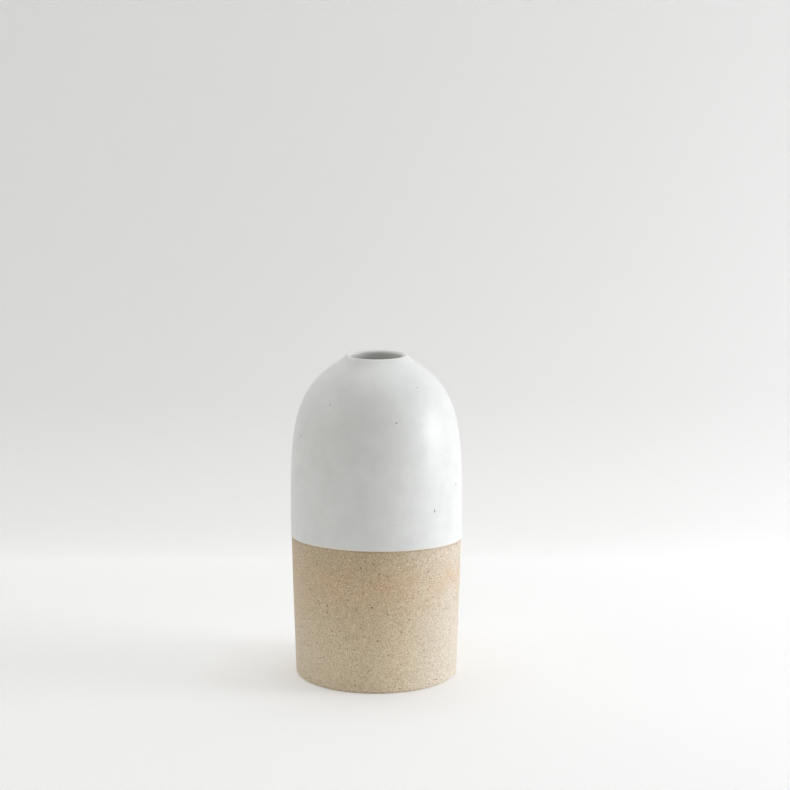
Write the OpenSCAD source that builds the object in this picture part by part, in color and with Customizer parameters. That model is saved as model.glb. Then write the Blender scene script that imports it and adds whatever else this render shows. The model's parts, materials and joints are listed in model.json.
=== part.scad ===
// Bud vase: a thrown stoneware bottle with a white glaze coat down to a dip line, and a liner glaze inside.
// The foot stands on z = 0 and the axis of the pot is the Z axis.

/* [Clay body] */
// Widest diameter of the clay
body_d = 90; // [72:1:120]
// Height of the clay from the table to the top of the lip
body_h = 170.8; // [140:0.1:220]
// Height of the widest point above the table
belly_h = 81; // [60:1:110]
// Diameter of the clay at the foot
foot_d = 85.7; // [66:0.1:110]
// How late the lower wall curves in towards the foot, where 1 is a straight cone
foot_curve = 1.3; // [1:0.1:3]

/* [Shoulder] */
// How far the wall climbs straight before the shoulder turns in, as a share of the shoulder's height
shoulder_fullness = 0.57; // [0.3:0.01:0.8]
// How far the crown runs straight outward from the lip, as a share of the shoulder's width
crown_fullness = 1.15; // [0.5:0.01:1.2]
// Slope of the crown where it meets the lip, in degrees
crown_slope = 30; // [15:1:42]

/* [Mouth and lip] */
// Diameter of the throat in the clay
mouth_d = 28; // [18:0.1:40]
// Length of the straight throat
throat_len = 5; // [3:0.1:9]
// Radius of the rounded edge at the top of the lip
lip_round = 1.3; // [0.8:0.1:2]
// How far the raised lip spreads outside the throat
lip_spread = 5.2; // [4:0.1:9]
// Slope of the lip's outer flank, in degrees
lip_slope = 45; // [44:1:60]

/* [Wall and foot] */
// Thickness of the side wall
wall_t = 5; // [3:0.1:8]
// Height of the inside floor above the table
floor_h = 7; // [4:0.1:12]
// Radius of the curve between the inside floor and the wall
corner_r = 14; // [6:0.5:20]
// Width of the ring that the pot stands on
foot_ring_w = 8; // [4:0.5:14]
// Depth of the hollow turned under the foot
foot_recess = 1.2; // [0.4:0.1:2.5]
// Size of the bevel on the outer edge of the foot
foot_bevel = 0.8; // [0.3:0.1:2]

/* [Glaze] */
// Thickness of the white coat
glaze_t = 0.3; // [0.2:0.05:0.8]
// Thickness of the liner coat
liner_t = 0.3; // [0.2:0.05:0.8]
// Height of the dip line where it crosses the axis
dip_line_h = 74; // [30:0.5:120]
// Lean of the dip line towards +X, in degrees
dip_lean_side = 0.7; // [0:0.1:5]
// Lean of the dip line towards the back, +Y, in degrees
dip_lean_back = 3.2; // [0:0.1:5]

/* [Hidden] */
$fn = 180;

LOWER_STEPS = 10;
SHOULDER_STEPS = 24;
ARC_STEPS = 6;

body_r = body_d / 2;
foot_r = foot_d / 2;
throat_r = mouth_d / 2;

// The lip is a small arc that ends in a straight flank, and the flank meets the crown of the shoulder.
lip_crest_r = throat_r + lip_round;
lip_centre_z = body_h - lip_round;
flank_top_r = lip_crest_r + lip_round * sin(lip_slope);
flank_top_z = lip_centre_z + lip_round * cos(lip_slope);
crown_r = throat_r + lip_spread;
crown_z = flank_top_z - (crown_r - flank_top_r) * tan(lip_slope);
throat_low_z = lip_centre_z - throat_len;

// Radius of the outside below the belly: a power curve from the foot up to the widest point.
function lower_r(z) = body_r - (body_r - foot_r) * pow((belly_h - z) / belly_h, foot_curve);

// Point on a cubic curve that leaves one point straight up and reaches the other along the crown's slope.
function shoulder_point(wide_r, top_r, top_z, t) =
    let (reach = crown_fullness * (wide_r - top_r))
    let (rise = shoulder_fullness * (top_z - belly_h))
    let (a = [wide_r, belly_h], b = [wide_r, belly_h + rise])
    let (c = [top_r + reach * cos(crown_slope), top_z - reach * sin(crown_slope)], d = [top_r, top_z])
    pow(1 - t, 3) * a + 3 * t * pow(1 - t, 2) * b + 3 * t * t * (1 - t) * c + pow(t, 3) * d;

function arc(centre, radius, from, to, first = 0) =
    [for (i = [first:ARC_STEPS])
        let (turn = from + (to - from) * i / ARC_STEPS)
        centre + radius * [cos(turn), sin(turn)]];

// Outside of the clay, from the foot bevel up to the foot of the lip.
function lower_wall() =
    [for (i = [0:LOWER_STEPS - 1])
        let (z = foot_bevel + (belly_h - foot_bevel) * i / LOWER_STEPS)
        [lower_r(z), z]];
function shoulder() =
    [for (i = [0:SHOULDER_STEPS]) shoulder_point(body_r, crown_r, crown_z, i / SHOULDER_STEPS)];
function outside() = concat(lower_wall(), shoulder());

// The rounded lip, from the top of the flank to the crest, and from the crest down to the throat.
lip_centre = [lip_crest_r, lip_centre_z];
function lip() =
    concat(arc(lip_centre, lip_round, 90 - lip_slope, 90), arc(lip_centre, lip_round, 90, 180, first = 1));

// Inside of the clay, from the foot of the throat down to the middle of the floor.
corner_top = floor_h + corner_r;
corner_wall_r = lower_r(corner_top) - wall_t;
function inner_shoulder() =
    [for (i = [SHOULDER_STEPS:-1:0])
        shoulder_point(body_r - wall_t, throat_r, throat_low_z, i / SHOULDER_STEPS)];
function inner_wall() =
    [for (i = [LOWER_STEPS - 1:-1:1])
        let (z = corner_top + (belly_h - corner_top) * i / LOWER_STEPS)
        [lower_r(z) - wall_t, z]];
function inner_corner() = arc([corner_wall_r - corner_r, corner_top], corner_r, 0, -90);
function inside() = concat(inner_shoulder(), inner_wall(), inner_corner(), [[0, floor_h]]);

// The underside, from the axis out to the foot bevel.
recess_r = foot_r - foot_bevel - foot_ring_w;
function underside() =
    [[0, foot_recess], [recess_r - foot_recess, foot_recess], [recess_r, 0], [foot_r - foot_bevel, 0]];

// The whole surface that glaze can lie on, in one run, so that each coat shares the clay's own faces.
// The white coat lines the throat and turns its lower edge, and the liner coat starts from there.
glazed_run = concat(outside(), lip(), inside());
throat_foot = len(outside()) + len(lip());
coat_join = throat_foot + 1;

// The run moved out from the clay by a thickness, each corner along its own bisector.
function direction(p, q) = (q - p) / norm(q - p);
function corner_shift(before, after) =
    let (normal_sum = [before.y + after.y, -before.x - after.x])
    normal_sum * 2 / (normal_sum * normal_sum);
function grown(run, thickness) =
    [for (i = [0:len(run) - 1])
        let (after = i < len(run) - 1 ? direction(run[i], run[i + 1]) : direction(run[i - 1], run[i]))
        let (before = i > 0 ? direction(run[i - 1], run[i]) : after)
        run[i] + thickness * corner_shift(before, after)];

// A turned skin over the glazed run between two of its points.
module coat(first, last, thickness) {
    skin = grown(glazed_run, thickness);
    clay_side = [for (i = [first:last]) glazed_run[i]];
    air_side = [for (i = [last:-1:first]) skin[i]];
    rotate_extrude()
        polygon(concat(clay_side, air_side));
}

// Everything under the slightly leaning surface of the glaze bath.
module below_dip_line() {
    reach = body_h;
    translate([0, 0, dip_line_h])
        rotate([-dip_lean_back, dip_lean_side, 0])
            translate([-reach, -reach, -reach])
                cube([2 * reach, 2 * reach, reach]);
}

module stoneware_body() {
    color([0.78, 0.68, 0.55])
        rotate_extrude()
            polygon(concat(underside(), glazed_run));
}

module white_glaze_coat() {
    color([0.92, 0.93, 0.93])
        difference() {
            coat(0, coat_join, glaze_t);
            below_dip_line();
        }
}

module liner_glaze_coat() {
    color([0.86, 0.87, 0.86])
        coat(coat_join, len(glazed_run) - 1, liner_t);
}

stoneware_body();
white_glaze_coat();
liner_glaze_coat();
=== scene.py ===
# %% [markdown]
# # A thrown and glazed bud vase
#
# This is a small stoneware bottle. A potter throws it on the wheel, turns its foot, fires it once, pours a
# liner glaze inside, and dips it mouth down into a white glaze. What is left bare below the dip line shows
# the clay. So there are three pieces: the clay wall, the white coat outside and the liner coat inside.
#
# All three are turned shapes. Each is an outline swept around the Z axis, and this lesson draws the outline
# in Python, sweeps it with Geometry Nodes, and then adds what the hand and the kiln add, down to the
# largest grains, which stand proud of the clay.

import json
import math
import random

import bmesh
import bpy
import mathutils
import numpy as np
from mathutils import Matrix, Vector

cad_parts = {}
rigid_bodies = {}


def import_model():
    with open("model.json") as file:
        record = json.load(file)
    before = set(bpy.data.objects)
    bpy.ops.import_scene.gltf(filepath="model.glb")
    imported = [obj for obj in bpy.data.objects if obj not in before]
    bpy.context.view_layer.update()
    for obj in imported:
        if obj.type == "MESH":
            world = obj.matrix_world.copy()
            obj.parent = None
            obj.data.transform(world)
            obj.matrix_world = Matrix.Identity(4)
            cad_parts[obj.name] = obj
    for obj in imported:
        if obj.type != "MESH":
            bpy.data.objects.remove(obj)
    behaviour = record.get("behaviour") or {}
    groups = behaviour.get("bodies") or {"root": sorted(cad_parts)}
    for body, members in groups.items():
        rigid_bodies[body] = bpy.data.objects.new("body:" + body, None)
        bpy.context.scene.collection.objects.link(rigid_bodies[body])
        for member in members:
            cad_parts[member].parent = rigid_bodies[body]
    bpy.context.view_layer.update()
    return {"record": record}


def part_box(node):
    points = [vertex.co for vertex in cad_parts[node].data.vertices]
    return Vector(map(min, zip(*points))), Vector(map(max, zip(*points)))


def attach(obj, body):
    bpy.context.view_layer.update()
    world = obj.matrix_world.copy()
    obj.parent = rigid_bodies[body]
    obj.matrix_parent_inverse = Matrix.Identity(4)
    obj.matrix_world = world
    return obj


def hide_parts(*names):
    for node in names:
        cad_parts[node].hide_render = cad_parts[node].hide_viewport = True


for leftover in list(bpy.data.objects):
    bpy.data.objects.remove(leftover)
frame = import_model()

# %% [markdown]
# ## Sizes
#
# The CAD model is the authority on size, so everything that it can tell is read from its boxes and from the
# record: the widest radius, the height, both coats, the wall and the throat. Only the shape of the curve
# between those sizes is stated here, in the same words as the potter's drawing.

# %% Sizes read from the frame
MM = 0.001

clay_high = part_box("stoneware_body")[1]
coat_low, coat_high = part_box("white_glaze_coat")
liner_low, liner_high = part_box("liner_glaze_coat")
mouth = next(mount for mount in frame["record"]["mounts"] if mount["name"] == "mouth")

belly_r = clay_high.x
clay_h = clay_high.z
coat_t = coat_high.x - clay_high.x
wall_t = clay_high.x - liner_high.x
floor_h = liner_low.z
throat_r = mouth["dims"]["r_mm"] * MM + coat_t
print(f"belly radius {belly_r / MM:.2f} mm, clay height {clay_h / MM:.2f} mm, coat {coat_t / MM:.2f} mm")
print(f"wall {wall_t / MM:.2f} mm, floor {floor_h / MM:.2f} mm, throat radius {throat_r / MM:.2f} mm")

# %% The shape between those sizes
foot_r = 42.85 * MM
belly_h = 81 * MM
foot_curve = 1.3
shoulder_fullness = 0.57
crown_fullness = 1.15
crown_slope = math.radians(30)
throat_len = 5 * MM
lip_round = 1.3 * MM
lip_spread = 5.2 * MM
lip_slope = math.radians(45)
corner_r = 14 * MM
foot_ring_w = 8 * MM
foot_recess = 1.2 * MM
foot_bevel = 0.8 * MM
dip_line_h = 74 * MM
dip_lean_side = math.radians(0.7)
dip_lean_back = math.radians(3.2)
lowest_dip = dip_line_h - belly_r * math.hypot(math.tan(dip_lean_side), math.tan(dip_lean_back))
print(f"the dip line falls to {lowest_dip / MM:.2f} mm, and in the frame to {coat_low.z / MM:.2f} mm")

# %% [markdown]
# ## Camera, sweep and light
#
# The vase is seen from slightly above with a long lens, on a white sweep: a floor that curves up into a
# wall. A soft window on the right models the form, a skylight fills from above, a weak light on the left
# stands for the far wall, and a dim room fills the rest. Area lights are used because their size sets how
# soft each shadow's edge is.

# %% Camera
LENS_MM = 99.85
CAMERA_DISTANCE = 1.150
AIM_HEIGHT = 149.65 * MM
LOOK_DOWN = math.radians(10.45)
SHIFT_RIGHT = 0.0235

camera_data = bpy.data.cameras.new("camera")
camera_data.lens = LENS_MM
camera_data.shift_x = SHIFT_RIGHT
camera_data.clip_start = 0.01
camera = bpy.data.objects.new("camera", camera_data)
camera.location = (
    0,
    -CAMERA_DISTANCE * math.cos(LOOK_DOWN),
    AIM_HEIGHT + CAMERA_DISTANCE * math.sin(LOOK_DOWN),
)
camera.rotation_euler = (math.pi / 2 - LOOK_DOWN, 0, 0)
bpy.context.scene.collection.objects.link(camera)
bpy.context.scene.camera = camera
print("the camera stands at", [round(value, 3) for value in camera.location])

# %% The white sweep
SWEEP_HALF_W = 0.75
SWEEP_FRONT = -1.6
WALL_BEHIND = 0.25
WALL_H = 0.9
COVE_R = 0.02
COVE_STEPS = 12


def mesh_object(name, points, faces):
    mesh = bpy.data.meshes.new(name)
    mesh.from_pydata(points, [], faces)
    made = bpy.data.objects.new(name, mesh)
    bpy.context.scene.collection.objects.link(made)
    return made


def cove_points():
    turns = [math.pi / 2 * step / COVE_STEPS for step in range(COVE_STEPS + 1)]
    bend = [
        (WALL_BEHIND - COVE_R + COVE_R * math.sin(turn), COVE_R - COVE_R * math.cos(turn))
        for turn in turns
    ]
    return [(SWEEP_FRONT, 0.0)] + bend + [(WALL_BEHIND, WALL_H)]


sweep_line = cove_points()
sweep_points = [(side, y, z) for y, z in sweep_line for side in (-SWEEP_HALF_W, SWEEP_HALF_W)]
sweep_faces = [(2 * i, 2 * i + 1, 2 * i + 3, 2 * i + 2) for i in range(len(sweep_line) - 1)]
sweep = mesh_object("white_sweep", sweep_points, sweep_faces)
sweep.data.polygons.foreach_set("use_smooth", [True] * len(sweep_faces))
print("the sweep has", len(sweep_faces), "faces")

# %% Light
ROOM_COLOUR = (1.0, 0.99, 0.90)
ROOM_STRENGTH = 0.30
SOFT_LIGHTS = {
    "window": {"place": (1.2, -0.1, 0.3), "size": 0.55, "watts": 8.9, "colour": (0.95, 0.96, 1.0)},
    "skylight": {"place": (0.0, 0.1, 1.6), "size": 1.2, "watts": 9.3, "colour": (0.94, 0.96, 1.0)},
    "far_wall": {"place": (-1.2, -0.2, 0.7), "size": 0.8, "watts": 1.8, "colour": (1.0, 0.97, 0.95)},
}


def soft_light(name, place, size, watts, colour):
    """A square area light of this size that faces the middle of the vase."""
    data = bpy.data.lights.new(name, "AREA")
    data.energy = watts
    data.size = size
    data.color = colour
    light = bpy.data.objects.new(name, data)
    light.location = place
    toward = mathutils.Vector((0, 0, clay_h / 2)) - light.location
    light.rotation_euler = toward.to_track_quat("-Z", "Y").to_euler()
    bpy.context.scene.collection.objects.link(light)
    return light


for light_name, light_settings in SOFT_LIGHTS.items():
    soft_light(light_name, **light_settings)
room = bpy.data.worlds.new("dim_room")
room.use_nodes = True
room.node_tree.nodes["Background"].inputs["Color"].default_value = (*ROOM_COLOUR, 1)
room.node_tree.nodes["Background"].inputs["Strength"].default_value = ROOM_STRENGTH
bpy.context.scene.world = room
bpy.context.scene.view_settings.view_transform = "Standard"
print("soft lights:", list(SOFT_LIGHTS))

# %% [markdown]
# ## Tools for node trees
#
# Both shaders and Geometry Nodes are graphs. A few small helpers keep the graphs readable. One places a
# node and feeds its inputs. Two do arithmetic, on numbers and on vectors. One stretches a value that runs
# from 0 to 1 so that it runs between two others, and one makes a smooth step. The last ones are for shapes:
# they split a vector into its axes, build one from them, give the position of each point, move the points,
# and end a tree with smooth shading, real instances and the material.

# %% Helpers for node trees
def feed(tree, socket, value):
    if isinstance(value, bpy.types.Node):
        value = next(output for output in value.outputs if output.enabled)
    if isinstance(value, bpy.types.NodeSocket):
        tree.links.new(value, socket)
    else:
        socket.default_value = value


def place(tree, kind, inputs=None, **settings):
    node = tree.nodes.new(kind)
    for name, value in settings.items():
        setattr(node, name, value)
    for key, value in (inputs or {}).items():
        usable = [socket for socket in node.inputs if socket.enabled]
        socket = usable[key] if isinstance(key, int) else next(s for s in usable if s.name == key)
        feed(tree, socket, value)
    return node


def number(tree, operation, *values):
    return place(tree, "ShaderNodeMath", dict(enumerate(values)), operation=operation).outputs[0]


def between(tree, value, low, high):
    return number(tree, "MULTIPLY_ADD", value, high - low, low)


def smooth_step(tree, value, start, end, low, high):
    """A smooth step: low up to the start, high from the end."""
    limits = {"Value": value, "From Min": start, "From Max": end, "To Min": low, "To Max": high}
    return place(tree, "ShaderNodeMapRange", limits, interpolation_type="SMOOTHSTEP")


def vector(tree, operation, *values):
    node = place(tree, "ShaderNodeVectorMath", dict(enumerate(values)), operation=operation)
    return next(output for output in node.outputs if output.enabled)


def axes(tree, value):
    return place(tree, "ShaderNodeSeparateXYZ", {0: value}).outputs


def from_axes(tree, x=0.0, y=0.0, z=0.0):
    return place(tree, "ShaderNodeCombineXYZ", {"X": x, "Y": y, "Z": z})


def position(tree):
    return tree.nodes.new("GeometryNodeInputPosition").outputs[0]


def moved(tree, shape, offset):
    return place(tree, "GeometryNodeSetPosition", {"Geometry": shape, "Offset": offset})


def finished(tree, shape, finish):
    shape = place(tree, "GeometryNodeSetShadeSmooth", {"Geometry": shape})
    shape = place(tree, "GeometryNodeRealizeInstances", {"Geometry": shape})
    return place(tree, "GeometryNodeSetMaterial", {"Geometry": shape, "Material": finish})


def group_sockets(tree, inputs, outputs):
    """Gives a node group its named inputs, each with a type and a starting value, and its outputs."""
    for name, (kind, value) in inputs.items():
        socket = tree.interface.new_socket(name=name, in_out="INPUT", socket_type=kind)
        if value is not None:
            socket.default_value = value
    for name, kind in outputs.items():
        tree.interface.new_socket(name=name, in_out="OUTPUT", socket_type=kind)
    return tree.nodes.new("NodeGroupInput").outputs, tree.nodes.new("NodeGroupOutput").inputs


FLOAT = "NodeSocketFloat"
VECTOR = "NodeSocketVector"
GEOMETRY = "NodeSocketGeometry"

# %% [markdown]
# ## Effects that several finishes share
#
# Clay and glaze both carry **specks**: a grain of iron or of crushed brick that sits in the clay and burns
# through the glaze. A Voronoi texture gives each grain a cell of its own, and only a share of the cells
# hold one. Both also vary slowly over the surface, like **clouds**, and both keep the fine **turned
# lines** of the wheel. Each effect is built once, as a node group that works in millimetres.

# %% The speck group
def build_specks():
    tree = bpy.data.node_groups.new("specks", "ShaderNodeTree")
    given, made = group_sockets(
        tree,
        {
            "Place": (VECTOR, None),
            "Spacing": (FLOAT, 2.0),
            "Radius": (FLOAT, 0.3),
            "Share": (FLOAT, 0.5),
            "Softness": (FLOAT, 0.35),
        },
        {"Mask": FLOAT, "Tone": FLOAT},
    )
    cells = place(
        tree,
        "ShaderNodeTexVoronoi",
        {"Vector": given["Place"], "Scale": number(tree, "DIVIDE", 1.0, given["Spacing"])},
    )
    chance = place(tree, "ShaderNodeSeparateColor", {"Color": cells.outputs["Color"]})
    distance = number(tree, "MULTIPLY", cells.outputs["Distance"], given["Spacing"])
    size_draw = between(tree, chance.outputs["Green"], 0.45, 1.35)
    edge = number(tree, "MULTIPLY", given["Radius"], size_draw)
    inner = number(tree, "MULTIPLY", edge, number(tree, "SUBTRACT", 1.0, given["Softness"]))
    spot = smooth_step(tree, distance, edge, inner, 0.0, 1.0)
    present = number(tree, "LESS_THAN", chance.outputs["Red"], given["Share"])
    feed(tree, made["Mask"], number(tree, "MULTIPLY", spot, present))
    feed(tree, made["Tone"], chance.outputs["Blue"])
    return tree


specks = build_specks()
print("specks:", len(specks.nodes), "nodes")

# %% The cloud and turned-line groups
def build_clouds():
    tree = bpy.data.node_groups.new("clouds", "ShaderNodeTree")
    given, made = group_sockets(
        tree,
        {
            "Place": (VECTOR, None),
            "Size": (FLOAT, 15.0),
            "Detail": (FLOAT, 2.0),
            "Contrast": (FLOAT, 1.0),
            "Seed": (FLOAT, 0.0),
        },
        {"Value": FLOAT},
    )
    noise = place(
        tree,
        "ShaderNodeTexNoise",
        {
            "Vector": given["Place"],
            "W": given["Seed"],
            "Scale": number(tree, "DIVIDE", 1.0, given["Size"]),
            "Detail": given["Detail"],
        },
        noise_dimensions="4D",
    )
    centred = number(tree, "SUBTRACT", noise.outputs[0], 0.5)
    spread = number(tree, "MULTIPLY_ADD", centred, given["Contrast"], 0.5)
    feed(tree, made["Value"], place(tree, "ShaderNodeClamp", {"Value": spread}))
    return tree


def build_turned_lines():
    tree = bpy.data.node_groups.new("turned_lines", "ShaderNodeTree")
    given, made = group_sockets(
        tree,
        {"Place": (VECTOR, None), "Spacing": (FLOAT, 1.5), "Wander": (FLOAT, 0.02), "Seed": (FLOAT, 0.0)},
        {"Value": FLOAT},
    )
    across = number(tree, "DIVIDE", 1.0, given["Spacing"])
    squeeze = from_axes(tree, given["Wander"], given["Wander"], across)
    stretched = vector(tree, "MULTIPLY", given["Place"], squeeze)
    noise = place(
        tree,
        "ShaderNodeTexNoise",
        {"Vector": stretched, "W": given["Seed"], "Scale": 1.0, "Detail": 2.0},
        noise_dimensions="4D",
    )
    feed(tree, made["Value"], noise.outputs[0])
    return tree


clouds = build_clouds()
turned_lines = build_turned_lines()
print("clouds and turned lines:", len(clouds.nodes) + len(turned_lines.nodes), "nodes")

# %% Helpers for finishes
def effect(tree, group, inputs):
    node = tree.nodes.new("ShaderNodeGroup")
    node.node_tree = group
    for name, value in inputs.items():
        feed(tree, node.inputs[name], value)
    return node


def cloudy(tree, where, **inputs):
    return effect(tree, clouds, {"Place": where, **inputs}).outputs["Value"]


def speckled(tree, where, **inputs):
    return effect(tree, specks, {"Place": where, **inputs}).outputs


def lined(tree, where, **inputs):
    return effect(tree, turned_lines, {"Place": where, **inputs}).outputs["Value"]


def blend_colour(tree, share, first, second, mode="MIX"):
    node = place(tree, "ShaderNodeMix", data_type="RGBA", blend_type=mode)
    sockets = [socket for socket in node.inputs if socket.enabled]
    for socket, value in zip(sockets, (share, first, second)):
        if isinstance(value, tuple):
            value = (*value, 1.0)
        feed(tree, socket, value)
    return next(output for output in node.outputs if output.enabled)


def new_finish(name):
    """A material with its surface shader, and the place on the piece in millimetres."""
    finish = bpy.data.materials.new(name)
    finish.use_nodes = True
    tree = finish.node_tree
    surface = tree.nodes["Principled BSDF"]
    coordinates = tree.nodes.new("ShaderNodeTexCoord").outputs["Object"]
    millimetres = vector(tree, "MULTIPLY", coordinates, (1 / MM, 1 / MM, 1 / MM))
    return finish, tree, surface, millimetres


def relief(tree, surface, height, depth_mm):
    bump = place(tree, "ShaderNodeBump", {"Height": height, "Distance": depth_mm * MM, "Strength": 1.0})
    feed(tree, surface.inputs["Normal"], bump)
    return bump


# %% [markdown]
# ## Bare stoneware
#
# The clay is a sandy buff body. It was cut smooth while it was leather hard, which drags the sand into
# faint rings, and then fired until it flushed: a warm orange blush runs round the pot a little below the
# glaze, and the clay is paler towards the foot. The flank that faces the window is painted paler as well,
# which is painted light. A thin band of painted shade lies under the glaze's edge and on the bevel of the
# foot, but not on the flat ring that the pot stands on. In the clay are dark iron grains and pale grains of
# crushed fired clay, and over it all is a fine salt-and-pepper of sand.
#
# An image could be painted for this, but a rule wraps round the pot with no seam and stays sharp close up.
# So a colour ramp on height gives the slow change, and the shared effects are laid over it.

# %% Colours of the clay
CLAY_BY_HEIGHT_MM = (
    (0, (0.75, 0.615, 0.425)),
    # painted shade: the bevel of the foot is darkened for the contact shadow where it meets the floor; the
    # flat ring at 0 keeps the clay's colour
    (0.3, (0.50, 0.39, 0.27)),
    (1.2, (0.75, 0.615, 0.425)),
    (16, (0.75, 0.61, 0.415)),
    (32, (0.71, 0.565, 0.37)),
    (50, (0.665, 0.515, 0.325)),
    (60, (0.625, 0.47, 0.285)),
    (74, (0.575, 0.445, 0.275)),
)
CLAY_BLUSH = (0.72, 0.485, 0.285)
BLUSH_BY_HEIGHT_MM = ((0, 0.0), (40, 0.10), (52, 0.68), (60, 0.75), (68, 0.25), (74, 0.28))
# painted light: the flank towards the window on the right is made paler, standing in for the window's light
PAINTED_LIGHT_FLANK = (0.76, 0.68, 0.56)
PAINTED_LIGHT_FLANK_SHARE = 0.85
PAINTED_LIGHT_FLANK_FROM_MM = 6.0
PALE_GRAIN = (0.95, 0.84, 0.68)
PALE_GRAIN_SHARE = 0.7
DARK_GRAIN = (0.22, 0.14, 0.065)
DARK_GRAIN_SHARES = (0.1, 0.6)
IRON_SPOT = (0.19, 0.085, 0.03)
IRON_SPOT_SHARE = 0.8
# painted shade: a thin dark band on the clay just under the glaze's edge, standing in for the shadow under
# the coat's edge
EDGE_SHADE_MM = (0.2, 1.5)
EDGE_SHADE_SHARE = 0.3

# %% [markdown]
# The sand shades the clay by channel: the blue goes up and down the most, so that the hollows between the
# grains look browner and the grains look creamier than the clay as a whole.

# %% Helpers for the clay
SAND_SHADE = (0.43, 0.58, 0.80)
LINE_SHADE = (0.12, 0.12, 0.12)


def ramp(tree, value, steps):
    """A colour that changes with a value: steps are (value, colour), and the last value is the highest."""
    top = steps[-1][0]
    node = place(tree, "ShaderNodeValToRGB", {0: number(tree, "DIVIDE", value, top)})
    elements = node.color_ramp.elements
    while len(elements) < len(steps):
        elements.new(0.5)
    for element, (level, colour) in zip(elements, steps):
        element.position = level / top
        element.color = (*colour, 1)
    return node.outputs["Color"]


def shaded(tree, colour, value, depths):
    """The colour from darker to lighter as the value goes from 0 to 1, with a depth for each channel."""
    factors = [between(tree, value, 1 - depth / 2, 1 + depth / 2) for depth in depths]
    shade = place(tree, "ShaderNodeCombineColor", dict(enumerate(factors)))
    return blend_colour(tree, 1.0, colour, shade, "MULTIPLY")


def shade_under_glaze_edge(tree, millimetres):
    """The painted shade's share at the dip line, falling to 0 a little way below it."""
    plane = (math.tan(dip_lean_side), math.tan(dip_lean_back), 1)
    level = vector(tree, "DOT_PRODUCT", millimetres, plane)
    depth = number(tree, "SUBTRACT", dip_line_h / MM, level)
    return smooth_step(tree, depth, *EDGE_SHADE_MM, EDGE_SHADE_SHARE, 0.0)


# %% Slow colour of the clay
def fired_colour_with_painted_light(tree, millimetres):
    """The clay's colour by height, with painted shade on the foot's bevel, painted light on the flank that
    faces the window, and the blush in cloudy patches.
    """
    where = axes(tree, millimetres)
    colour = ramp(tree, where["Z"], CLAY_BY_HEIGHT_MM)
    # painted light: paler towards +X, the flank that faces the window
    flank = smooth_step(tree, where["X"], PAINTED_LIGHT_FLANK_FROM_MM, belly_r / MM, 0.0, PAINTED_LIGHT_FLANK_SHARE)
    colour = blend_colour(tree, flank, colour, PAINTED_LIGHT_FLANK)
    patches = cloudy(tree, millimetres, Size=11, Detail=4, Contrast=3.2, Seed=1)
    blush_levels = [(level, (share, share, share)) for level, share in BLUSH_BY_HEIGHT_MM]
    blush = number(tree, "MULTIPLY", ramp(tree, where["Z"], blush_levels), patches)
    return blend_colour(tree, blush, colour, CLAY_BLUSH)


# %% Stoneware finish
def build_stoneware():
    finish, tree, surface, millimetres = new_finish("stoneware")
    lines = lined(tree, millimetres, Spacing=2.4, Wander=0.05, Seed=4)
    sand = cloudy(tree, millimetres, Size=0.55, Detail=3, Contrast=3.8, Seed=2)
    pale = speckled(tree, millimetres, Spacing=0.9, Radius=0.36, Share=0.3)["Mask"]
    dark = speckled(tree, millimetres, Spacing=1.3, Radius=0.36, Share=0.4)
    iron = speckled(tree, millimetres, Spacing=4, Radius=0.5, Share=0.7)["Mask"]
    dark_share = number(tree, "MULTIPLY", dark["Mask"], between(tree, dark["Tone"], *DARK_GRAIN_SHARES))

    colour = fired_colour_with_painted_light(tree, millimetres)
    colour = shaded(tree, colour, lines, LINE_SHADE)
    colour = shaded(tree, colour, sand, SAND_SHADE)
    colour = blend_colour(tree, number(tree, "MULTIPLY", pale, PALE_GRAIN_SHARE), colour, PALE_GRAIN)
    colour = blend_colour(tree, dark_share, colour, DARK_GRAIN)
    colour = blend_colour(tree, number(tree, "MULTIPLY", iron, IRON_SPOT_SHARE), colour, IRON_SPOT)
    # painted shade just under the glaze's edge, in the dark grains' colour
    colour = blend_colour(tree, shade_under_glaze_edge(tree, millimetres), colour, DARK_GRAIN)
    feed(tree, surface.inputs["Base Color"], colour)
    feed(tree, surface.inputs["Roughness"], between(tree, sand, 0.5, 0.65))
    surface.inputs["Specular IOR Level"].default_value = 0.9
    surface.inputs["Sheen Weight"].default_value = 0.28
    surface.inputs["Sheen Roughness"].default_value = 0.6

    pale_height = number(tree, "MULTIPLY", pale, 0.6)
    line_height = number(tree, "MULTIPLY", lines, 0.5)
    rough_height = number(tree, "ADD", number(tree, "ADD", sand, pale_height), line_height)
    relief(tree, surface, rough_height, 0.18)
    return finish


stoneware = build_stoneware()
print("stoneware:", len(stoneware.node_tree.nodes), "nodes")

# %% Finishes of the two kinds of grain
def build_grain(name, colour, second):
    finish, tree, surface, millimetres = new_finish(name)
    drift = cloudy(tree, millimetres, Size=0.8, Detail=1, Contrast=2.5, Seed=3)
    feed(tree, surface.inputs["Base Color"], blend_colour(tree, drift, colour, second))
    feed(tree, surface.inputs["Roughness"], between(tree, drift, 0.5, 0.8))
    surface.inputs["Specular IOR Level"].default_value = 0.25
    relief(tree, surface, drift, 0.05)
    return finish


iron_grain = build_grain("iron_grain", (0.13, 0.065, 0.03), (0.31, 0.19, 0.10))
pale_grain = build_grain("pale_grain", (0.84, 0.72, 0.54), (0.70, 0.58, 0.42))
print("two grain finishes")

# %% [markdown]
# ## Satin white glaze
#
# The glaze is opaque, but it isn't one white. It pools and thins in soft clouds, its surface has the fine
# dimple of orange peel, and here and there an iron grain burns a faint spot through it. Where it runs thin,
# along the dip line and over the lip, the clay warms it to cream. Small open pinholes show the clay, made
# darker as painted shade in each hole. The thin and the open places are marks on the mesh, so the finish
# reads them by name.

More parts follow.
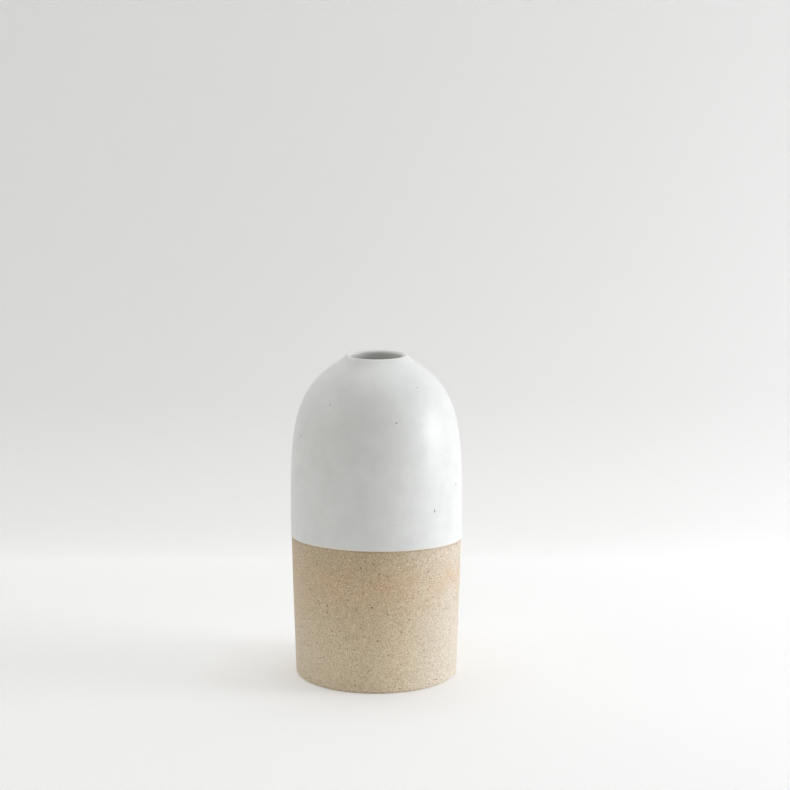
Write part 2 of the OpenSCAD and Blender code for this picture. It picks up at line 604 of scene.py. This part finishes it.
# %% White glaze finish
GLAZE_WHITE = (0.83, 0.84, 0.835)
GLAZE_DEEP = (0.775, 0.785, 0.78)
GLAZE_THIN = (0.86, 0.79, 0.71)
GLAZE_SPECK = (0.40, 0.36, 0.30)
FAINT_SPECK_SHARE = 0.22
THIN_LEAST = 0.2
# painted shade: the pinholes' colour is the clay at their bottom, darkened for the shade in each hole
PINHOLE = (0.22, 0.19, 0.15)


def mark(tree, name):
    return place(tree, "ShaderNodeAttribute", attribute_name=name).outputs["Fac"]


def build_white_glaze():
    finish, tree, surface, millimetres = new_finish("satin_white_glaze")
    pools = cloudy(tree, millimetres, Size=8, Detail=4, Contrast=2.4, Seed=5)
    faint = speckled(tree, millimetres, Spacing=4.0, Radius=0.5, Share=0.5, Softness=0.8)["Mask"]
    ragged = cloudy(tree, millimetres, Size=3.0, Detail=3, Contrast=2.0, Seed=6)
    peel = cloudy(tree, millimetres, Size=2.6, Detail=2, Contrast=1.5, Seed=7)
    thin = number(tree, "MULTIPLY", mark(tree, "thin"), number(tree, "ADD", ragged, THIN_LEAST))

    colour = blend_colour(tree, pools, GLAZE_WHITE, GLAZE_DEEP)
    colour = blend_colour(tree, number(tree, "MULTIPLY", faint, FAINT_SPECK_SHARE), colour, GLAZE_SPECK)
    colour = blend_colour(tree, thin, colour, GLAZE_THIN)
    # the pinholes: clay at the bottom, darkened as painted shade
    colour = blend_colour(tree, mark(tree, "pit"), colour, PINHOLE)
    feed(tree, surface.inputs["Base Color"], colour)
    feed(tree, surface.inputs["Roughness"], between(tree, peel, 0.34, 0.44))
    relief(tree, surface, peel, 0.05)
    return finish


white_glaze = build_white_glaze()
print("white glaze:", len(white_glaze.node_tree.nodes), "nodes")

# %% Liner glaze finish
LINER_WHITE = (0.80, 0.80, 0.77)
LINER_DEEP = (0.74, 0.74, 0.70)
LINER_SPECK_SHARE = 0.4


def build_liner_glaze():
    finish, tree, surface, millimetres = new_finish("liner_glaze")
    pools = cloudy(tree, millimetres, Size=16, Detail=3, Contrast=2.0, Seed=8)
    faint = speckled(tree, millimetres, Spacing=5.0, Radius=0.5, Share=0.6, Softness=0.7)["Mask"]
    throwing = lined(tree, millimetres, Spacing=3.5, Wander=0.02, Seed=9)
    colour = blend_colour(tree, pools, LINER_WHITE, LINER_DEEP)
    colour = blend_colour(tree, number(tree, "MULTIPLY", faint, LINER_SPECK_SHARE), colour, GLAZE_SPECK)
    feed(tree, surface.inputs["Base Color"], colour)
    feed(tree, surface.inputs["Roughness"], between(tree, pools, 0.18, 0.28))
    relief(tree, surface, throwing, 0.1)
    return finish


liner_glaze = build_liner_glaze()
print("liner glaze:", len(liner_glaze.node_tree.nodes), "nodes")

# %% [markdown]
# ## The outline
#
# A turned pot is wholly told by its outline. Below the belly it is a power curve that starts late and then
# draws in to the foot. Above the belly it is one cubic curve: it leaves the belly straight up and meets the
# lip at the crown's slope. The lip is a small arc with a straight flank. The inside repeats the outside, one
# wall thickness in. Points are stored as (radius, height), spaced by how closely each stretch is seen.

# %% Outline curves
def lower_radius(height):
    return belly_r - (belly_r - foot_r) * ((belly_h - height) / belly_h) ** foot_curve


def shoulder_point(wide_r, top_r, top_z, share):
    reach = crown_fullness * (wide_r - top_r)
    rise = shoulder_fullness * (top_z - belly_h)
    corners = [
        (wide_r, belly_h),
        (wide_r, belly_h + rise),
        (top_r + reach * math.cos(crown_slope), top_z - reach * math.sin(crown_slope)),
        (top_r, top_z),
    ]
    back = 1 - share
    weights = [back**3, 3 * share * back**2, 3 * share**2 * back, share**3]
    return tuple(sum(w * corner[axis] for w, corner in zip(weights, corners)) for axis in (0, 1))


def arc(centre, radius, start, end, steps):
    turns = [start + (end - start) * step / steps for step in range(steps + 1)]
    return [(centre[0] + radius * math.cos(turn), centre[1] + radius * math.sin(turn)) for turn in turns]


def along(start, end, steps):
    """Points from start to end, without the last, for a straight stretch."""
    return [tuple(a + (b - a) * step / steps for a, b in zip(start, end)) for step in range(steps)]


lip_crest_r = throat_r + lip_round
lip_centre = (lip_crest_r, clay_h - lip_round)
flank_top = (lip_crest_r + lip_round * math.sin(lip_slope), lip_centre[1] + lip_round * math.cos(lip_slope))
crown = (throat_r + lip_spread, flank_top[1] - (throat_r + lip_spread - flank_top[0]) * math.tan(lip_slope))
throat_foot = (throat_r, lip_centre[1] - throat_len)
corner_top = floor_h + corner_r
corner_wall_r = lower_radius(corner_top) - wall_t
print(f"the crown meets the lip at radius {crown[0] / MM:.2f} mm, height {crown[1] / MM:.2f} mm")

# %% [markdown]
# The outline is cut into stretches, so that each piece can take the ones it needs: the wall from the foot to
# the belly, the shoulder, the lip, the throat, and the inside down to the middle of the floor.

# %% Stretches of the outline
def wall_up(low, high, step):
    count = max(1, round((high - low) / step))
    heights = [low + (high - low) * index / count for index in range(count)]
    return [(lower_radius(height), height) for height in heights]


def shoulder_up(steps):
    return [shoulder_point(belly_r, *crown, step / steps) for step in range(steps + 1)]


def lip_over(flank_steps, arc_steps):
    flank = along(crown, flank_top, flank_steps)[1:]
    return flank + arc(lip_centre, lip_round, math.pi / 2 - lip_slope, math.pi, arc_steps)


def throat_down(steps):
    return along(lip_over(1, 1)[-1], throat_foot, steps)[1:]


def inside_down(shoulder_steps, wall_steps, corner_steps, floor_steps):
    shoulder = [
        shoulder_point(belly_r - wall_t, *throat_foot, 1 - step / shoulder_steps)
        for step in range(shoulder_steps + 1)
    ]
    wall = [
        (lower_radius(height) - wall_t, height)
        for height in np.linspace(belly_h, corner_top, wall_steps + 1)[1:-1]
    ]
    corner = arc((corner_wall_r - corner_r, corner_top), corner_r, 0, -math.pi / 2, corner_steps)
    floor = along(corner[-1], (0, floor_h), floor_steps)[1:]
    return shoulder + wall + corner + floor + [(0, floor_h)]


def underside_out():
    bevel_r = foot_r - foot_bevel
    ring_r = bevel_r - foot_ring_w
    hollow_r = ring_r - foot_recess
    hollow = along((0, foot_recess), (hollow_r, foot_recess), steps=36)
    step = along((hollow_r, foot_recess), (ring_r, 0), steps=3)
    ring = along((ring_r, 0), (bevel_r, 0), steps=6)
    bevel = along((bevel_r, 0), (lower_radius(foot_bevel), foot_bevel), steps=2)
    return hollow + step + ring + bevel


print("the underside has", len(underside_out()), "points")

# %% [markdown]
# ## Sweeping an outline into a pot
#
# Geometry Nodes do what the wheel does. A flat grid has one column for each step around the pot and one row
# for each point of the outline. Every vertex looks up its own outline point by its row, turns to its own
# angle, and the seam and poles are merged. The same tree then leans and ripples the dip line, pushes the
# wall slightly out of round, cuts turning rings and raises the grain, each by a named input and only where
# the outline's marks allow it.

# %% Marks that an outline can carry, and how fine each unevenness is
MARKS = ("edge", "thin", "rings", "grain")
MERGE_WITHIN = 0.002 * MM
RIPPLES_PER_METRE = (70, 70, 0)
SWELLS_PER_METRE = (14, 14, 9)
RING_DRIFTS_PER_METRE = 12.0


# %% The wheel: a Geometry Nodes tree
def build_wheel():
    tree = bpy.data.node_groups.new("wheel", "GeometryNodeTree")
    given, made = group_sockets(
        tree,
        {
            "Outline": (GEOMETRY, None),
            "Sides": ("NodeSocketInt", 360),
            "Lean side": (FLOAT, 0.0),
            "Lean back": (FLOAT, 0.0),
            "Ripple": (FLOAT, 0.0),
            "Out of round": (FLOAT, 0.0),
            "Ring depth": (FLOAT, 0.0),
            "Ring spacing": (FLOAT, 2.0 * MM),
            "Grain depth": (FLOAT, 0.0),
            "Grain size": (FLOAT, 1.0 * MM),
            "Seed": (FLOAT, 0.0),
            "Finish": ("NodeSocketMaterial", None),
        },
        {"Pot": GEOMETRY},
    )
    outline = given["Outline"]
    size = place(tree, "GeometryNodeAttributeDomainSize", {"Geometry": outline})
    rows = size.outputs["Point Count"]
    grid = place(
        tree,
        "GeometryNodeMeshGrid",
        {
            "Size X": 1.0,
            "Size Y": 1.0,
            "Vertices X": number(tree, "ADD", given["Sides"], 1),
            "Vertices Y": rows,
        },
    )
    spot = axes(tree, position(tree))
    turn = number(tree, "MULTIPLY", number(tree, "ADD", spot["X"], 0.5), 2 * math.pi)
    last_row = number(tree, "SUBTRACT", rows, 1)
    row = number(tree, "MULTIPLY", number(tree, "ADD", spot["Y"], 0.5), last_row)
    row = number(tree, "ROUND", row)

    def marked(name):
        return place(tree, "GeometryNodeInputNamedAttribute", {"Name": name}, data_type="FLOAT").outputs[0]

    def looked_up(kind, field):
        inputs = {"Geometry": outline, "Value": field, "Index": row}
        return place(tree, "GeometryNodeSampleIndex", inputs, data_type=kind)

    point = axes(tree, looked_up("FLOAT_VECTOR", position(tree)))
    swept_x = number(tree, "MULTIPLY", point["X"], number(tree, "COSINE", turn))
    swept_y = number(tree, "MULTIPLY", point["X"], number(tree, "SINE", turn))
    swept = from_axes(tree, swept_x, swept_y, point["Z"])
    shape = grid.outputs["Mesh"]
    for name in MARKS:
        shape = place(
            tree,
            "GeometryNodeStoreNamedAttribute",
            {"Geometry": shape, "Name": name, "Value": looked_up("FLOAT", marked(name))},
            data_type="FLOAT",
            domain="POINT",
        ).outputs[0]
    shape = place(tree, "GeometryNodeSetPosition", {"Geometry": shape, "Position": swept})
    shape = place(tree, "GeometryNodeMergeByDistance", {"Geometry": shape, "Distance": MERGE_WITHIN})

    def unevenness(stretch, detail, offset):
        """Noise from -1 to 1 over the shape as it is now, with a draw of its own for each offset."""
        seed = number(tree, "ADD", given["Seed"], offset)
        here = vector(tree, "MULTIPLY", position(tree), stretch)
        noise = place(
            tree,
            "ShaderNodeTexNoise",
            {"Vector": here, "W": seed, "Scale": 1.0, "Detail": detail},
            noise_dimensions="4D",
        )
        return number(tree, "MULTIPLY", number(tree, "SUBTRACT", noise.outputs[0], 0.5), 2.0)

    spot = axes(tree, position(tree))
    side_drop = number(tree, "MULTIPLY", spot["X"], number(tree, "TANGENT", given["Lean side"]))
    back_drop = number(tree, "MULTIPLY", spot["Y"], number(tree, "TANGENT", given["Lean back"]))
    waves = unevenness(RIPPLES_PER_METRE, detail=1.5, offset=11.0)
    waves = number(tree, "MULTIPLY", waves, given["Ripple"])
    drop = number(tree, "SUBTRACT", waves, number(tree, "ADD", side_drop, back_drop))
    lift = from_axes(tree, z=number(tree, "MULTIPLY", drop, marked("edge")))
    shape = moved(tree, shape, lift)

    swell = unevenness(SWELLS_PER_METRE, detail=1.0, offset=0.0)
    swell = number(tree, "MULTIPLY", swell, given["Out of round"])
    swell = number(tree, "DIVIDE", swell, belly_r)
    outward = vector(tree, "MULTIPLY", position(tree), (1, 1, 0))
    push = place(tree, "ShaderNodeVectorMath", {0: outward, "Scale": swell}, operation="SCALE")
    shape = moved(tree, shape, push)

    ring_pitch = number(tree, "DIVIDE", 1.0, given["Ring spacing"])
    ring_stretch = from_axes(tree, RING_DRIFTS_PER_METRE, RING_DRIFTS_PER_METRE, ring_pitch)
    rings = unevenness(ring_stretch, detail=2.0, offset=21.0)
    rings = number(tree, "MULTIPLY", rings, given["Ring depth"])
    rings = number(tree, "MULTIPLY", rings, marked("rings"))
    grain_pitch = number(tree, "DIVIDE", 1.0, given["Grain size"])
    grain_stretch = from_axes(tree, grain_pitch, grain_pitch, grain_pitch)
    grain = unevenness(grain_stretch, detail=2.0, offset=31.0)
    grain = number(tree, "MULTIPLY", grain, given["Grain depth"])
    grain = number(tree, "MULTIPLY", grain, marked("grain"))
    normal = tree.nodes.new("GeometryNodeInputNormal").outputs[0]
    height = number(tree, "ADD", rings, grain)
    raised = place(tree, "ShaderNodeVectorMath", {0: normal, "Scale": height}, operation="SCALE")
    shape = moved(tree, shape, raised)
    feed(tree, made["Pot"], finished(tree, shape, given["Finish"]))
    return tree


wheel = build_wheel()
print("the wheel has", len(wheel.nodes), "nodes")

# %% [markdown]
# Running the tree means making a mesh that holds only the outline's points and marks, adding the modifier
# with its inputs set by their identifiers, and keeping the evaluated result as a plain mesh.

# %% Using a Geometry Nodes tree
def run_tree(piece, tree, settings):
    modifier = piece.modifiers.new(tree.name, "NODES")
    modifier.node_group = tree
    for item in tree.interface.items_tree:
        if item.in_out == "INPUT" and item.name in settings:
            modifier[item.identifier] = settings[item.name]
    graph = bpy.context.evaluated_depsgraph_get()
    plain = bpy.data.meshes.new_from_object(piece.evaluated_get(graph))
    piece.modifiers.clear()
    piece.data = plain
    plain.name = piece.name
    return piece


def turned_piece(name, outline, marks, settings):
    """Sweeps an outline of (radius, height) points. Each mark is a list with one number for each point."""
    piece = mesh_object(name, [(radius, 0, height) for radius, height in outline], [])
    for mark_name in MARKS:
        layer = piece.data.attributes.new(mark_name, "FLOAT", "POINT")
        layer.data.foreach_set("value", marks.get(mark_name, [0.0] * len(outline)))
    return run_tree(piece, wheel, settings)


def triangle_count(piece):
    return sum(len(face.vertices) - 2 for face in piece.data.polygons)


def facing_out(piece):
    """Turns the faces to point out of the closed shape, and says how large the shape is."""
    shell = bmesh.new()
    shell.from_mesh(piece.data)
    bmesh.ops.recalc_face_normals(shell, faces=shell.faces)
    volume = shell.calc_volume(signed=True)
    open_edges = sum(1 for edge in shell.edges if len(edge.link_faces) != 2)
    if volume < 0:
        bmesh.ops.reverse_faces(shell, faces=shell.faces)
    shell.to_mesh(piece.data)
    shell.free()
    count = triangle_count(piece)
    print(f"{piece.name}: {count} triangles, {open_edges} open edges, {abs(volume) * 1e6:.1f} cm3")
    return piece


# %% [markdown]
# ## The clay
#
# The clay's bare lower wall is seen close up, so its rows are half a millimetre or so apart, and it carries
# the turning rings and the grain as real relief. Above the dip line the coat hides it, so the rows are wide.
# Underneath, only the foot's recess has rings and grain, because the ring that the pot stands on is flat.
# The clay under the coats is worked out first, so that the backs of both coats can follow the same points,
# and all three pieces share one seed, so that they go out of round together.

# %% The clay wall
OUT_OF_ROUND = 0.12 * MM
POT_SEED = 3.0
CLAY_SIDES = 360
BARE_ROW = 0.62 * MM
HIDDEN_ROW = 5 * MM

bare_top = dip_line_h + 3 * MM
clay_top = shoulder_up(steps=24) + lip_over(flank_steps=2, arc_steps=8) + throat_down(steps=3)
clay_inside = inside_down(shoulder_steps=24, wall_steps=18, corner_steps=6, floor_steps=10)
clay_wall = wall_up(foot_bevel, bare_top, BARE_ROW) + wall_up(bare_top, belly_h, HIDDEN_ROW)
clay_outline = underside_out() + clay_wall + clay_top + clay_inside
bare_rows = [1.0 if foot_bevel <= z < bare_top and r > foot_r - MM else 0.0 for r, z in clay_outline]
under_rows = [1.0 if z == foot_recess and r < foot_r else 0.0 for r, z in clay_outline]
clay = turned_piece(
    "stoneware_clay",
    clay_outline,
    {
        "rings": [max(bare, under) for bare, under in zip(bare_rows, under_rows)],
        "grain": [max(bare, 0.5 * under) for bare, under in zip(bare_rows, under_rows)],
    },
    {
        "Sides": CLAY_SIDES,
        "Out of round": OUT_OF_ROUND,
        "Ring depth": 0.035 * MM,
        "Ring spacing": 2.2 * MM,
        "Grain depth": 0.1 * MM,
        "Grain size": 1.5 * MM,
        "Seed": POT_SEED,
        "Finish": stoneware,
    },
)
facing_out(clay)

# %% [markdown]
# ## The white coat
#
# A glaze coat is a thin skin, so its outline goes up the clay, over the lip, down the throat, and back along
# the air side. It ends just inside the chamber, where the liner coat takes over. Surface tension draws its
# lower edge into a small round bead, a little thicker than the rest. That edge starts just inside the clay,
# so that no light passes under it. Glaze also fills the crease at the foot of the lip, so the outline is
# rounded there.

# %% Glaze thickness along a run of clay
BEAD_ROUND = 0.5 * MM
BEAD_EXTRA = 0.28
BEAD_WIDTH = 1.6 * MM
EDGE_SINK = 0.12 * MM


def air_side(run, thickness):
    """The run moved away from the clay by a thickness for each point, along the outline's own normals."""
    points = np.array(run)
    steps = np.diff(points, axis=0)
    steps /= np.linalg.norm(steps, axis=1)[:, None]
    normals = np.stack([steps[:, 1], -steps[:, 0]], axis=1)
    before = np.vstack([normals[:1], normals])
    after = np.vstack([normals, normals[-1:]])
    sums = before + after
    shift = 2 * sums / (sums**2).sum(axis=1)[:, None]
    return [tuple(point) for point in points + shift * np.array(thickness)[:, None]]


def run_lengths(run):
    steps = np.linalg.norm(np.diff(np.array(run), axis=0), axis=1)
    return np.concatenate([[0.0], np.cumsum(steps)])


def softened(run, corner, reach, steps):
    """The run with one corner rounded: a quadratic curve between the points just outside its reach."""
    near = [index for index, point in enumerate(run) if math.dist(point, corner) < reach]
    first, last = run[near[0] - 1], run[near[-1] + 1]
    curve = []
    for step in range(1, steps):
        share = step / steps
        weights = ((1 - share) ** 2, 2 * share * (1 - share), share**2)
        point = [sum(w * p[axis] for w, p in zip(weights, (first, corner, last))) for axis in (0, 1)]
        curve.append(tuple(point))
    return run[: near[0]] + curve + run[near[-1] + 1 :]


def bead_thickness(distance):
    rounding = math.sqrt(1 - (1 - min(distance / BEAD_ROUND, 1)) ** 2)
    swell = 1 + BEAD_EXTRA * math.exp(-((distance / BEAD_WIDTH) ** 2))
    return coat_t * rounding * swell


# %% The white coat's outline
EDGE_STEPS_MM = (0, 0.03, 0.09, 0.18, 0.32, 0.5, 0.75, 1.05, 1.45, 2.0, 2.7, 3.6)
COAT_SIDES = 360
COAT_ROW = 1.1 * MM
CREASE_REACH = 2.0 * MM

edge_heights = [dip_line_h + step * MM for step in EDGE_STEPS_MM]
coat_run = (
    [(lower_radius(height), height) for height in edge_heights]
    + wall_up(edge_heights[-1] + COAT_ROW, belly_h, COAT_ROW)
    + shoulder_up(steps=84)
    + lip_over(flank_steps=5, arc_steps=14)
    + throat_down(steps=4)
    + clay_inside[:2]
)
coat_run = softened(coat_run, crown, CREASE_REACH, steps=8)
distances = run_lengths(coat_run)
coat_air = air_side(coat_run, [bead_thickness(distance) for distance in distances])
coat_back = wall_up(dip_line_h + BEAD_ROUND, belly_h, HIDDEN_ROW) + clay_top + clay_inside[:2]
coat_start = (coat_run[0][0] - EDGE_SINK, dip_line_h + EDGE_SINK)
coat_outline = [coat_start] + coat_air + coat_back[::-1] + [coat_start]
print("the coat runs", round(distances[-1] / MM, 1), "mm along the clay, in", len(coat_outline), "points")

# %% The white coat
LEAN_REACH = 12 * MM
THIN_REACH = 0.9 * MM
LIP_THIN = 0.3


def eased(share):
    share = min(max(share, 0.0), 1.0)
    return share * share * (3 - 2 * share)


def lean_mark(point):
    return eased(1 - (point[1] - dip_line_h) / LEAN_REACH)


def thin_mark(point, distance):
    at_edge = math.exp(-((distance / THIN_REACH) ** 2))
    at_lip = LIP_THIN * math.exp(-(((point[1] - clay_h - coat_t) / lip_round) ** 2))
    return max(at_edge, at_lip)


thin_marks = [thin_mark(point, distance) for point, distance in zip(coat_air, distances)]
coat = turned_piece(
    "white_glaze",
    coat_outline,
    {
        "edge": [lean_mark(point) for point in coat_outline],
        "thin": [1.0] + thin_marks + [0.0] * len(coat_back) + [1.0],
    },
    {
        "Sides": COAT_SIDES,
        "Lean side": dip_lean_side,
        "Lean back": dip_lean_back,
        "Ripple": 0.35 * MM,
        "Out of round": OUT_OF_ROUND,
        "Seed": POT_SEED,
        "Finish": white_glaze,
    },
)
facing_out(coat)

# %% [markdown]
# ### Pinholes
#
# A gas bubble that breaks as the glaze sets leaves an open pinhole with a dark bottom. Each one is real
# here: a face of the coat is inset twice, the second time with some depth, and its new corners get a mark
# that the finish paints dark, for the clay at its bottom and, as painted shade, for the shade in the hole.
# They are sparse, and they keep clear of each other and of the dip line.

# %% Pinholes in the coat
PINHOLE_COUNT = 18
PINHOLE_SEED = 11
PINHOLE_APART = 14 * MM
PINHOLE_RIM = 0.08 * MM
PINHOLE_DEPTH = 0.14 * MM


def outer_faces(shell):
    """Faces of the coat's air side, above the bead and below the lip."""
    low = dip_line_h + 5 * MM
    faces = []
    for face in shell.faces:
        middle = face.calc_center_median()
        if low < middle.z < crown[1] and face.normal.dot(middle) > 0:
            faces.append(face)
    return faces


def pick_apart(faces, count, apart, draw):
    picked = []
    places = []
    while len(picked) < count:
        face = draw.choice(faces)
        here = face.calc_center_median()
        if all((here - there).length > apart for there in places):
            picked.append(face)
            places.append(here)
    return picked


def add_pinholes(piece):
    shell = bmesh.new()
    shell.from_mesh(piece.data)
    pit = shell.verts.layers.float.new("pit")
    draw = random.Random(PINHOLE_SEED)
    holes = pick_apart(outer_faces(shell), PINHOLE_COUNT, PINHOLE_APART, draw)
    for hole in holes:
        bmesh.ops.inset_individual(shell, faces=[hole], thickness=PINHOLE_RIM, depth=0)
        bmesh.ops.inset_individual(shell, faces=[hole], thickness=PINHOLE_RIM, depth=-PINHOLE_DEPTH)
        for corner in hole.verts:
            corner[pit] = 1.0
    shell.to_mesh(piece.data)
    shell.free()
    print(f"{piece.name}: {len(holes)} pinholes")


add_pinholes(coat)

# %% [markdown]
# ## The liner coat
#
# The inside was glazed first: the potter pours glaze in, swirls it and pours it out, so it lies a little
# thicker in the corner of the floor. It shows only through the mouth. Throwing rings are deeper inside,
# because nothing cut them away.

# %% The liner coat
LINER_SIDES = 200
POOL_EXTRA = 0.6

liner_run = inside_down(shoulder_steps=48, wall_steps=30, corner_steps=12, floor_steps=14)[2:]
liner_back = clay_inside[1:]


def pooled_thickness(point):
    return coat_t * (1 + POOL_EXTRA * eased(1 - (point[1] - floor_h) / corner_r))


liner_air = air_side(liner_run, [pooled_thickness(point) for point in liner_run])
liner_air[-1] = (0, liner_air[-1][1])
liner_outline = liner_back[::-1] + liner_air
ringed_from_r = 2 * throat_r
liner_rings = [1.0 if r > ringed_from_r else 0.0 for r, z in liner_air]
liner = turned_piece(
    "liner_glaze",
    liner_outline,
    {"rings": [0.0] * len(liner_back) + liner_rings},
    {
        "Sides": LINER_SIDES,
        "Out of round": OUT_OF_ROUND,
        "Ring depth": 0.12 * MM,
        "Ring spacing": 6 * MM,
        "Seed": POT_SEED,
        "Finish": liner_glaze,
    },
)
facing_out(liner)

# %% [markdown]
# ## Grains in the bare clay
#
# The largest grains stand proud of the bare wall: turning drags the clay off them and the fire shrinks it
# back. A second Geometry Nodes tree scatters them over the clay below the dip line. Each is a small
# flattened ball of a few dozen faces, sunk to its middle, with its own size and turn.

# %% The scatter: a Geometry Nodes tree
BALL_SEGMENTS = 7
BALL_RINGS = 5
NARROWEST_BALL = (0.6, 0.6, 0.7)
FULL_BALL = (1.0, 1.0, 1.0)
CLEAR_OF_GLAZE = 0.9 * MM
INSIDE_FOOT_R = 0.5 * MM


def build_scatter():
    tree = bpy.data.node_groups.new("scatter", "GeometryNodeTree")
    given, made = group_sockets(
        tree,
        {
            "Wall": (GEOMETRY, None),
            "Grains per square metre": (FLOAT, 1000.0),
            "Smallest": (FLOAT, 0.15 * MM),
            "Largest": (FLOAT, 0.4 * MM),
            "Flatness": (FLOAT, 0.4),
            "Seed": ("NodeSocketInt", 1),
            "Finish": ("NodeSocketMaterial", None),
        },
        {"Grains": GEOMETRY},
    )
    x, y, z = axes(tree, position(tree))
    drop = number(tree, "MULTIPLY", x, math.tan(dip_lean_side))
    drop = number(tree, "ADD", drop, number(tree, "MULTIPLY", y, math.tan(dip_lean_back)))
    ceiling = number(tree, "SUBTRACT", dip_line_h - CLEAR_OF_GLAZE, drop)
    radius = number(tree, "SQRT", number(tree, "MULTIPLY_ADD", x, x, number(tree, "MULTIPLY", y, y)))
    outside = number(tree, "GREATER_THAN", radius, foot_r - INSIDE_FOOT_R)
    below = number(tree, "LESS_THAN", z, ceiling)
    above = number(tree, "GREATER_THAN", z, 2 * foot_bevel)
    bare = number(tree, "MULTIPLY", outside, number(tree, "MULTIPLY", below, above))
    points = place(
        tree,
        "GeometryNodeDistributePointsOnFaces",
        {
            "Mesh": given["Wall"],
            "Selection": bare,
            "Density": given["Grains per square metre"],
            "Seed": given["Seed"],
        },
        distribute_method="RANDOM",
    )
    ball = place(
        tree,
        "GeometryNodeMeshUVSphere",
        {"Segments": BALL_SEGMENTS, "Rings": BALL_RINGS, "Radius": 1.0},
    )

    def drawn(kind, low, high, offset):
        """A random value for each grain, with a draw of its own for each offset."""
        seed = number(tree, "ADD", given["Seed"], offset)
        inputs = {"Min": low, "Max": high, "Seed": seed}
        return place(tree, "FunctionNodeRandomValue", inputs, data_type=kind)

    stretch = drawn("FLOAT_VECTOR", NARROWEST_BALL, FULL_BALL, 1)
    size = drawn("FLOAT", given["Smallest"], given["Largest"], 2)
    flat = from_axes(tree, 1.0, 1.0, given["Flatness"])
    sized = place(
        tree,
        "ShaderNodeVectorMath",
        {0: vector(tree, "MULTIPLY", stretch, flat), "Scale": size},
        operation="SCALE",
    )
    grains = place(
        tree,
        "GeometryNodeInstanceOnPoints",
        {
            "Points": points.outputs["Points"],
            "Instance": ball.outputs["Mesh"],
            "Rotation": points.outputs["Rotation"],
            "Scale": sized,
        },
    )
    twist = drawn("FLOAT_VECTOR", (0, 0, 0), (0, 0, 2 * math.pi), 3)
    grains = place(tree, "GeometryNodeRotateInstances", {"Instances": grains, "Rotation": twist})
    feed(tree, made["Grains"], finished(tree, grains, given["Finish"]))
    return tree


scatter = build_scatter()
print("the scatter has", len(scatter.nodes), "nodes")

# %% Iron grains and pale grains
def scattered(name, settings):
    piece = bpy.data.objects.new(name, clay.data.copy())
    bpy.context.scene.collection.objects.link(piece)
    run_tree(piece, scatter, settings)
    print(f"{piece.name}: {triangle_count(piece)} triangles")
    return piece


iron = scattered(
    "iron_grains",
    {
        "Grains per square metre": 12000.0,
        "Smallest": 0.12 * MM,
        "Largest": 0.46 * MM,
        "Flatness": 0.3,
        "Seed": 5,
        "Finish": iron_grain,
    },
)
pale = scattered(
    "pale_grains",
    {
        "Grains per square metre": 40000.0,
        "Smallest": 0.12 * MM,
        "Largest": 0.34 * MM,
        "Flatness": 0.35,
        "Seed": 9,
        "Finish": pale_grain,
    },
)

# %% [markdown]
# ## The sweep's finish
#
# The floor and wall aren't part of the vase. They are a plain matt white card that glows a little, and the
# glow fades up the wall. From behind or below the card is clear, so that the back and the underside of the
# vase can be looked at too.

# %% Sweep finish
SWEEP_WHITE = 0.86
FLOOR_GLOW = 0.18
WALL_GLOW = 0.095
GLOW_FADE_MM = 100

sweep_finish, sweep_tree, sweep_surface, sweep_spot = new_finish("white_card")
sweep_surface.inputs["Base Color"].default_value = (SWEEP_WHITE, SWEEP_WHITE, SWEEP_WHITE, 1)
sweep_surface.inputs["Roughness"].default_value = 0.9
sweep_surface.inputs["Specular IOR Level"].default_value = 0.2
sweep_surface.inputs["Emission Color"].default_value = (1, 1, 1, 1)
sweep_height = axes(sweep_tree, sweep_spot)["Z"]
glow = place(
    sweep_tree,
    "ShaderNodeMapRange",
    {"Value": sweep_height, "From Max": GLOW_FADE_MM, "To Min": FLOOR_GLOW, "To Max": WALL_GLOW},
)
feed(sweep_tree, sweep_surface.inputs["Emission Strength"], glow)
from_behind = sweep_tree.nodes.new("ShaderNodeNewGeometry").outputs["Backfacing"]
clear = sweep_tree.nodes.new("ShaderNodeBsdfTransparent")
one_sided = place(sweep_tree, "ShaderNodeMixShader", {0: from_behind, 1: sweep_surface, 2: clear})
feed(sweep_tree, sweep_tree.nodes["Material Output"].inputs["Surface"], one_sided)
sweep.data.materials.append(sweep_finish)
print("the sweep is plain white from the front and clear from behind")

# %% [markdown]
# ## Joining the frame
#
# Nothing on the vase moves, so every piece rides on the one body. Each turned piece stands for its CAD node,
# and the grains belong to the clay.

# %% Riding and replacing
STANDS_FOR = (
    (clay, "stoneware_body", "stoneware"),
    (coat, "white_glaze_coat", "satin_white_glaze"),
    (liner, "liner_glaze_coat", "liner_glaze"),
    (iron, None, "stoneware"),
    (pale, None, "stoneware"),
)
for piece, node, slot in STANDS_FOR:
    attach(piece, "root")
    if node:
        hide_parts(node)
print("pieces:", [piece.name for piece, node, slot in STANDS_FOR])
